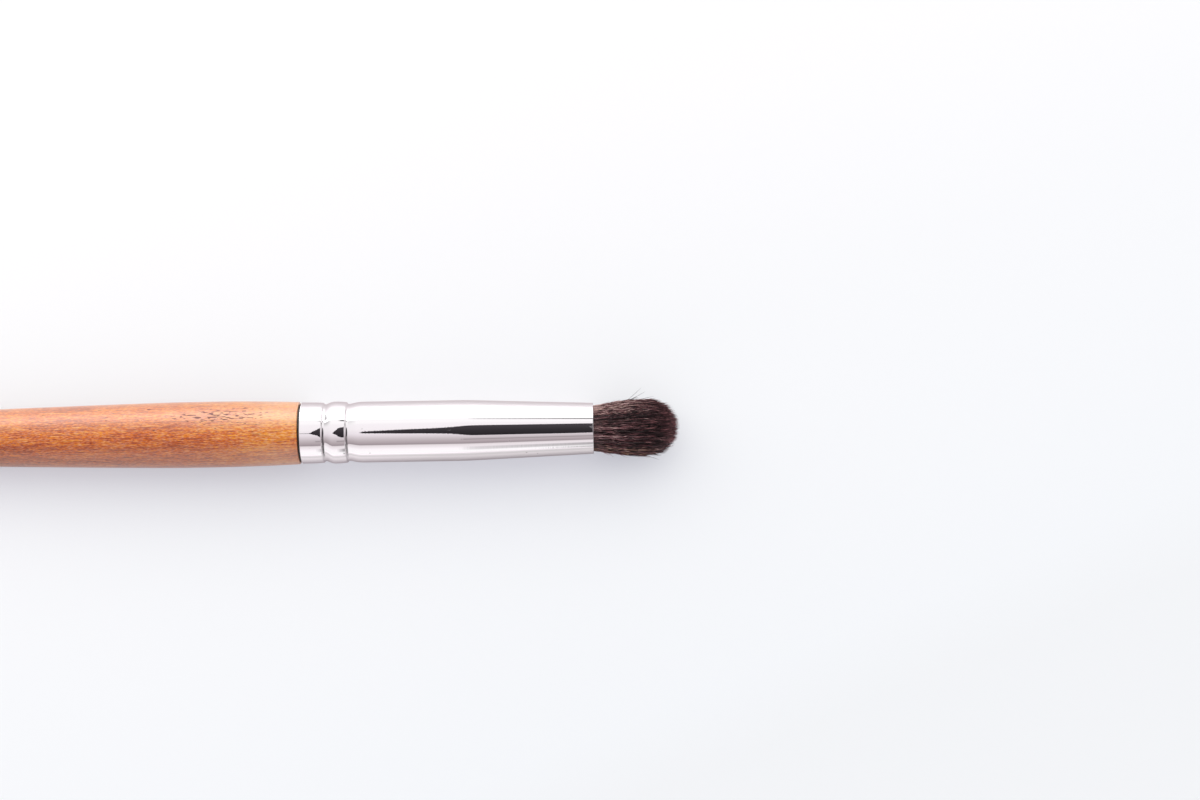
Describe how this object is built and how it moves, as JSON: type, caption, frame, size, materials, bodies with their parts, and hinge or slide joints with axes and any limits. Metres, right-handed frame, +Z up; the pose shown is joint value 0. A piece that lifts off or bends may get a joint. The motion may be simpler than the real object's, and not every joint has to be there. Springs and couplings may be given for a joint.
{
  "type": "makeup brush",
  "caption": "Long-handled round make-up brush with a crimped metal ferrule and a domed tuft of hair, for blending eye shadow.",
  "frame": {"origin": "centre of the bounding box's underside, on the surface that the brush lies on", "axes": "+X along the brush towards the hair, +Z up"},
  "size_m": [0.1732, 0.01, 0.0101],
  "materials": {
    "handle_wood": "stained and clear lacquered beech, satin",
    "ferrule_glue": "set glue, darkened at the joint",
    "ferrule_metal": "drawn brass, polished and nickel plated",
    "root_resin": "clear amber casting resin",
    "tie_thread": "twisted cotton",
    "brush_hair": "soft dark brown hair, fine and slightly glossy"
  },
  "bodies": {
    "root": {"handle": "handle_wood", "handle_glue": "ferrule_glue", "ferrule": "ferrule_metal", "root_resin": "root_resin", "tie_thread": "tie_thread", "hair_tuft": "brush_hair"}
  },
  "joints": []
}
